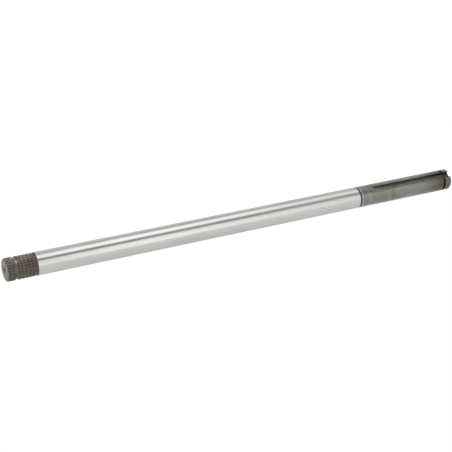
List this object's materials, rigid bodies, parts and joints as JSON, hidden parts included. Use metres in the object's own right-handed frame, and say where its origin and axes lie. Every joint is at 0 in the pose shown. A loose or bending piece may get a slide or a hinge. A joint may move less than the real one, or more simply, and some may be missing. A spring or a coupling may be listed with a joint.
{
  "type": "drive axle shaft",
  "caption": "Straight steel drive axle shaft with a serrated end, a ground journal, a wheel seat with an open-ended keyway, and retaining-ring grooves.",
  "frame": {"origin": "on the shaft's axis, halfway between its end faces", "axes": "+X along the shaft towards its keyed wheel end, +Z out of the keyway's mouth, the shaft lying on its side"},
  "size_m": [0.45, 0.02, 0.02],
  "materials": {
    "steel": "ground bright in the middle, dark scale at both ends"
  },
  "bodies": {
    "root": {"axle_shaft": "steel"}
  },
  "joints": []
}
